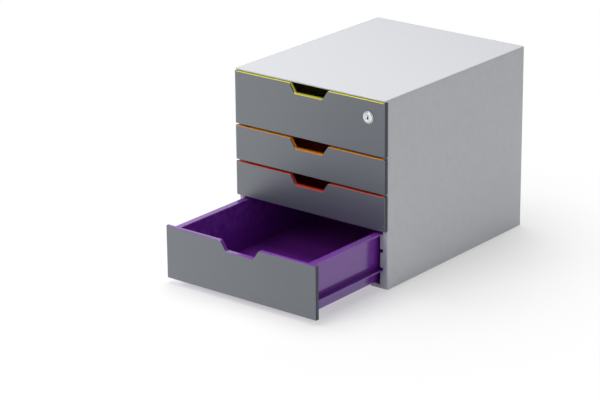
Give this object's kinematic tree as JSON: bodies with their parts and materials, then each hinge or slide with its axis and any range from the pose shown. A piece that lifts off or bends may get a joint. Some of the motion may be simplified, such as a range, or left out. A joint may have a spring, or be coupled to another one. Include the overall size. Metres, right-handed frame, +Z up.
{
  "type": "desktop file drawer",
  "caption": "Desktop box with stacked drawers for papers, grey fronts with finger cut-outs over coloured trays, and a lock in the top drawer.",
  "frame": {"origin": "on the table under the middle of the object's box, with the bottom drawer pulled out as stored", "axes": "+X to the right seen from the front, +Y to the back, +Z up; the drawer fronts face -Y"},
  "size_m": [0.28, 0.518, 0.292],
  "materials": {
    "casing_grey": "fine satin texture",
    "front_charcoal": "fine satin texture",
    "tray_yellow": "satin",
    "tray_orange": "satin",
    "tray_red": "satin",
    "tray_purple": "satin",
    "foot_rubber": "matt",
    "lock_nickel": "bright nickel",
    "plated_steel": "zinc plated"
  },
  "bodies": {
    "casing": {"housing_shell": "casing_grey", "base_plate": "casing_grey", "back_panel": "casing_grey", "rail_panel_left": "casing_grey", "rail_panel_right": "casing_grey", "foot_front_left": "foot_rubber", "foot_front_right": "foot_rubber", "foot_back_left": "foot_rubber", "foot_back_right": "foot_rubber", "lock_strike": "plated_steel"},
    "drawer_yellow": {"tray_yellow": "tray_yellow", "front_panel_yellow": "front_charcoal", "lock_barrel": "lock_nickel", "lock_clip": "plated_steel"},
    "drawer_orange": {"tray_orange": "tray_orange", "front_panel_orange": "front_charcoal"},
    "drawer_red": {"tray_red": "tray_red", "front_panel_red": "front_charcoal"},
    "drawer_purple": {"tray_purple": "tray_purple", "front_panel_purple": "front_charcoal"},
    "lock_core": {"lock_plug": "lock_nickel", "lock_cam": "plated_steel", "cam_screw": "plated_steel"}
  },
  "joints": [
    {"name": "yellow_slide", "type": "slide", "parent": "casing", "child": "drawer_yellow", "axis": [0, -1, 0], "range_m": [0, 0.26]},
    {"name": "orange_slide", "type": "slide", "parent": "casing", "child": "drawer_orange", "axis": [0, -1, 0], "range_m": [0, 0.26]},
    {"name": "red_slide", "type": "slide", "parent": "casing", "child": "drawer_red", "axis": [0, -1, 0], "range_m": [0, 0.26]},
    {"name": "purple_slide", "type": "slide", "parent": "casing", "child": "drawer_purple", "axis": [0, -1, 0], "range_m": [-0.162, 0.098]},
    {"name": "lock_turn", "type": "hinge", "parent": "drawer_yellow", "child": "lock_core", "pos_m": [0.11, -0.097, 0.2625], "axis": [0, 1, 0], "range_deg": [0, 90]}
  ]
}
